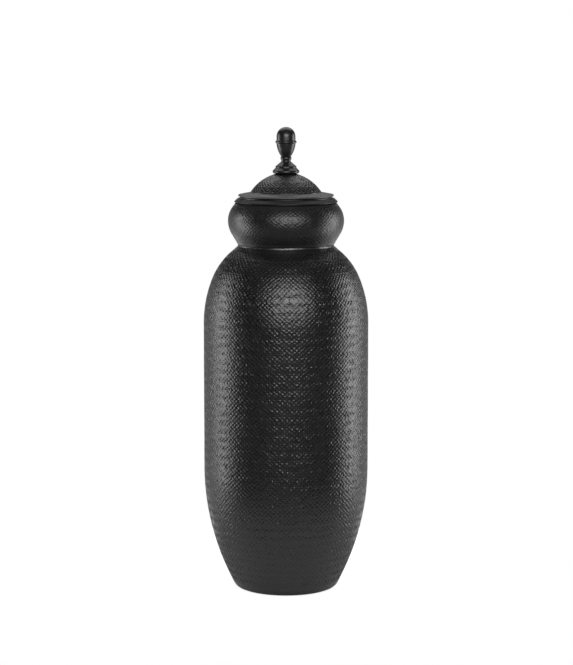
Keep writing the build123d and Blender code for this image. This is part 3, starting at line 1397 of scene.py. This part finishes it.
@dataclass(frozen=True)
class Softbox:
    """A rectangular studio light that faces the jar.

    Azimuth 0 is the camera's side and 90 is to the right of the picture. Sizes are metres, power
    is watts, aim is the height that the light points at and lean turns it in its own plane.
    """

    name: str
    azimuth: float
    distance: float
    height: float
    wide: float
    tall: float
    power: float
    aim: float = 0.45
    lean: float = 0.0

    def build(self) -> None:
        """Hangs the light, out of the camera's own sight."""
        turn = math.radians(self.azimuth)
        data = bpy.data.lights.new(self.name, "AREA")
        data.shape, data.size, data.size_y, data.energy = "RECTANGLE", self.wide, self.tall, self.power
        lamp = put(self.name, data)
        lamp.location = (self.distance * math.sin(turn), -self.distance * math.cos(turn), self.height)
        tilt = math.atan2(self.height - self.aim, self.distance)
        lamp.rotation_euler = (math.pi / 2 - tilt, 0, turn)
        lamp.rotation_euler.rotate_axis("Z", math.radians(self.lean))
        lamp.visible_camera = False


@dataclass
class Studio:
    """White floor and surroundings, softboxes and the camera at the photograph's angle.

    Sizes are metres. A span on the floor is in metres too, and a span of the surroundings is where
    the backward or upward part of a direction, from -1 to 1, lets the light change.
    """

    floor_radius: float = 0.45
    floor_sides: int = 96
    floor_drop: float = 0.0003
    floor_colour: str = "#a8a8a8"
    floor_glow: float = 0.8
    # The floor's glow to reflections carries painted shade: it fades from the front to the sides and
    # behind, and a painted contact shadow darkens it round the foot.
    floor_reflected_glow: Point = (0.42, 0.08)
    floor_far: float = 0.8
    near_span: Point = (-0.12, 0.04)
    far_span: Point = (0.08, 0.3)
    contact_shadow_span: Point = (0.076, 0.096)
    room_light: float = 0.35
    backdrop_light: float = 0.43
    sweep_gain: float = 3.0
    sweep_end: float = 0.45
    apron_light: float = 0.35
    ceiling_light: float = 0.15
    front_light: float = 0.035
    backdrop_span: Point = (0.0, 0.9)
    wall_span: Point = (0.12, 0.4)
    sweep_span: Point = (-0.6, -0.1)
    under_span: Point = (-0.8, -0.45)
    ceiling_span: Point = (0.5, 0.95)
    apron_span: Point = (-0.42, -0.1)
    steep_span: Point = (-0.92, -0.5)
    camera_back: float = 3.5
    camera_height: float = 0.868
    camera_side: float = 0.0008
    camera_pitch: float = 7.35
    lens: float = 118.2
    softboxes: tuple[Softbox, ...] = (
        Softbox("left_strip", -98, distance=1.5, height=0.45, wide=0.6, tall=1.34, power=12.8, lean=14),
        Softbox("right_strip", 102, distance=1.5, height=0.45, wide=0.55, tall=1.34, power=13.8, lean=-14),
        Softbox("front_softbox", 5, distance=2.3, height=1.37, wide=2.1, tall=1.0, power=49),
        Softbox("front_upper", 5, distance=1.7, height=2.2, wide=1.1, tall=0.9, power=1.0, aim=0.5),
        Softbox("top_softbox", 180, distance=1.0, height=2.2, wide=2.2, tall=1.8, power=22, aim=0.65),
    )

    def build(self) -> None:
        """Sets up the floor, the world, the lights and the camera."""
        self.build_floor()
        self.build_world()
        for softbox in self.softboxes:
            softbox.build()
        self.build_camera()
        bpy.context.scene.view_settings.view_transform = "Standard"

    def build_floor(self) -> None:
        """Lays a floor that is white to the camera and keeps the jar's shadow.

        To reflections it glows, with painted shade: brighter in front and far behind, darker beside and
        just behind the jar, and darkest in a painted contact shadow where the foot stands on it.
        """
        deselect()
        bpy.ops.mesh.primitive_circle_add(
            vertices=self.floor_sides,
            radius=self.floor_radius,
            fill_type="NGON",
            location=(0, 0, -self.floor_drop),
        )
        floor = bpy.context.object
        floor.name = "studio_floor"
        made = bpy.data.materials.new("matt_white_floor")
        made.cycles.emission_sampling = "NONE"
        tree = fresh_tree(made)
        path = add_node(tree, "LightPath").outputs
        place = add_node(tree, "TexCoord").outputs["Object"]
        depth = add_node(tree, "SeparateXYZ", links={0: place}).outputs["Y"]
        reach = add_node(tree, "VectorMath", links={0: place}, operation="LENGTH").outputs["Value"]
        # The glow that reflections see is painted: near fades it from the front to beside and behind the
        # jar as painted shade, far brightens it again far behind, and clear is a painted contact shadow
        # round the foot.
        near, far, clear = (
            add_node(tree, "MapRange", dict(zip(RANGE, span + light)), {"Value": part}, **SOFTLY)
            for part, span, light in (
                (depth, self.near_span, self.floor_reflected_glow),
                (depth, self.far_span, (0.0, self.floor_far)),
                (reach, self.contact_shadow_span, (0.0, 1.0)),
            )
        )
        rays = {0: path["Is Glossy Ray"], 1: path["Is Transmission Ray"]}
        mirrored = add_node(tree, "Math", links=rays, operation="MAXIMUM")
        gloss = add_node(tree, "Math", links={0: near, 1: far}, operation="ADD")
        for share in (clear, mirrored):
            gloss = add_node(tree, "Math", links={0: gloss, 1: share}, operation="MULTIPLY")
        seen = {0: path["Is Camera Ray"], 2: gloss}
        glow = add_node(tree, "Math", {1: self.floor_glow}, seen, operation="MULTIPLY_ADD")
        white = add_node(tree, "Emission", links={"Strength": glow})
        matt = add_node(tree, "BsdfDiffuse", {"Color": linear(self.floor_colour)})
        both = add_node(tree, "AddShader", links={0: white, 1: matt})
        add_node(tree, "OutputMaterial", links={"Surface": both})
        floor.data.materials.append(made)

    def build_world(self) -> None:
        """Makes the surroundings: white to the camera, and a lit studio to reflections.

        A reflection finds a pale ceiling, a paler backdrop that sweeps down behind the jar, an
        apron of floor all round and a dim front.
        """
        world = bpy.data.worlds.new("white_studio")
        bpy.context.scene.world = world
        world.cycles.sampling_method = "NONE"
        tree = fresh_tree(world)
        path = add_node(tree, "LightPath").outputs
        where = add_node(tree, "TexCoord").outputs["Generated"]
        axis = add_node(tree, "SeparateXYZ", links={0: where}).outputs
        behind, wall, sweep, under, above, apron, steep = (
            add_node(tree, "MapRange", dict(zip(RANGE, span + light)), {"Value": axis[part]}, **SOFTLY)
            for part, span, light in (
                ("Y", self.backdrop_span, (0.0, self.backdrop_light)),
                ("Z", self.wall_span, (1.0, 0.0)),
                ("Z", self.sweep_span, (self.sweep_gain, 1.0)),
                ("Z", self.under_span, (self.sweep_end, 1.0)),
                ("Z", self.ceiling_span, (self.front_light, self.ceiling_light)),
                ("Z", self.apron_span, (self.apron_light, 0.0)),
                ("Z", self.steep_span, (0.0, 1.0)),
            )
        )
        for share in (sweep, under):
            wall = add_node(tree, "Math", links={0: wall, 1: share}, operation="MULTIPLY")
        apron = add_node(tree, "Math", links={0: apron, 1: steep}, operation="MULTIPLY")
        above = add_node(tree, "Math", links={0: above, 1: apron}, operation="ADD")
        around = add_node(tree, "Math", links={0: behind, 1: wall, 2: above}, operation="MULTIPLY_ADD")
        rays = {0: path["Is Glossy Ray"], 1: path["Is Transmission Ray"]}
        mirrored = add_node(tree, "Math", links=rays, operation="MAXIMUM")
        found = {0: mirrored, 3: around}
        light = add_node(tree, "Mix", {2: self.room_light}, found, data_type="FLOAT")
        seen = {0: light, 1: path["Is Camera Ray"]}
        strength = add_node(tree, "Math", links=seen, operation="MAXIMUM")
        back = add_node(tree, "Background", {"Color": (1, 1, 1, 1)}, {"Strength": strength})
        add_node(tree, "OutputWorld", links={"Surface": back})

    def build_camera(self) -> None:
        """Stands the camera in front of the jar, a little above it."""
        data = bpy.data.cameras.new("camera")
        data.lens = self.lens
        camera = put("camera", data)
        camera.location = (self.camera_side, -self.camera_back, self.camera_height)
        camera.rotation_euler = (math.radians(90 - self.camera_pitch), 0, 0)
        bpy.context.scene.camera = camera


def main() -> None:
    """Builds every piece in order."""
    logging.basicConfig(level=logging.INFO, format="%(name)s: %(message)s")
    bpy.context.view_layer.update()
    Vessel().build()
    Lid().build()
    Finial().build()
    Fasteners().build()
    Studio().build()


if __name__ == "__main__":
    main()
